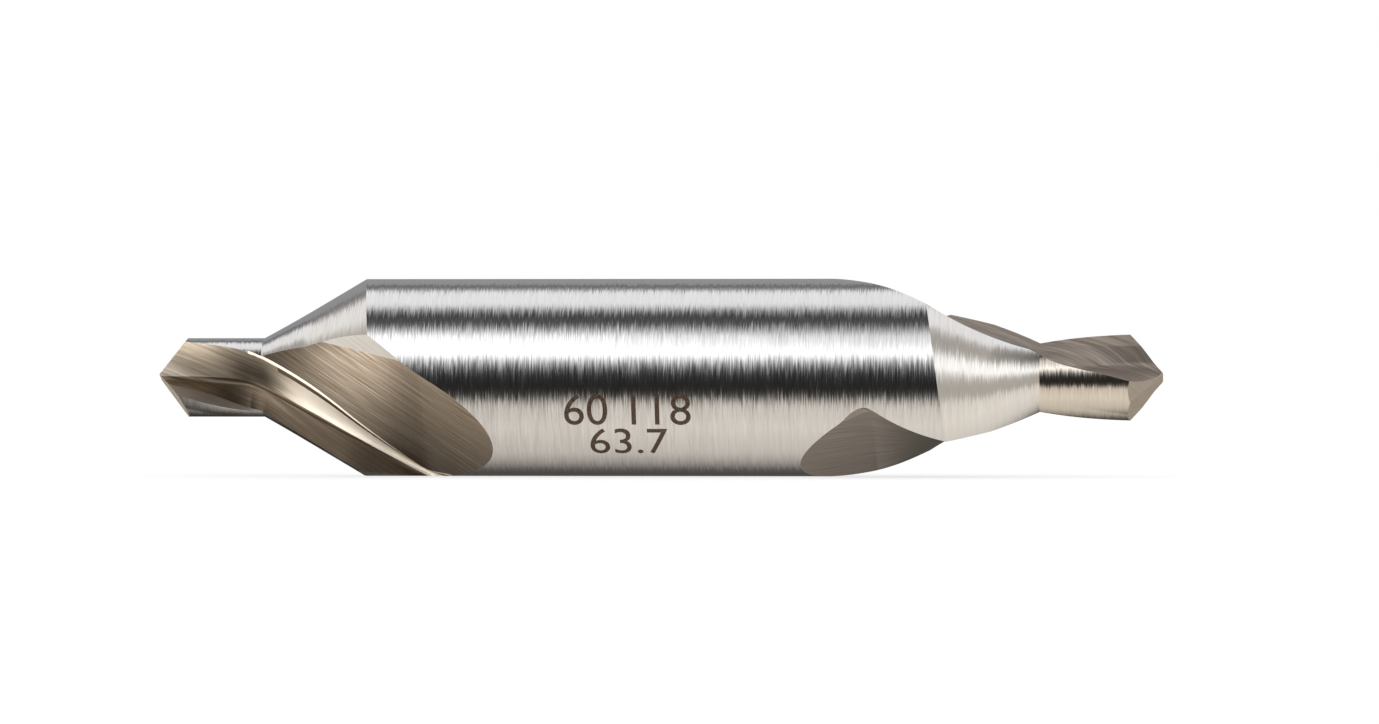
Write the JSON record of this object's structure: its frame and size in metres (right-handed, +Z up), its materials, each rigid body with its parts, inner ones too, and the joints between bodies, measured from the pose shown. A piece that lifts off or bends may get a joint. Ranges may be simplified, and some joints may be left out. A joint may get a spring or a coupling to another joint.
{
  "type": "centre drill",
  "caption": "Double-ended centre drill: a round ground body with a fluted pilot drill and a 60 degree countersink cone on each end, for making centre holes.",
  "frame": {"origin": "on the drill's axis, halfway between the two points", "axes": "+X along the axis from the shorter pilot to the longer one, +Z up as the drill lies in the picture, -Y towards the viewer"},
  "size_m": [0.0636, 0.0126, 0.0126],
  "materials": {
    "ground_steel": "ground high-speed steel: bright lands and body, darker hatched flutes"
  },
  "bodies": {
    "root": {"centre_drill": "ground_steel"}
  },
  "joints": []
}
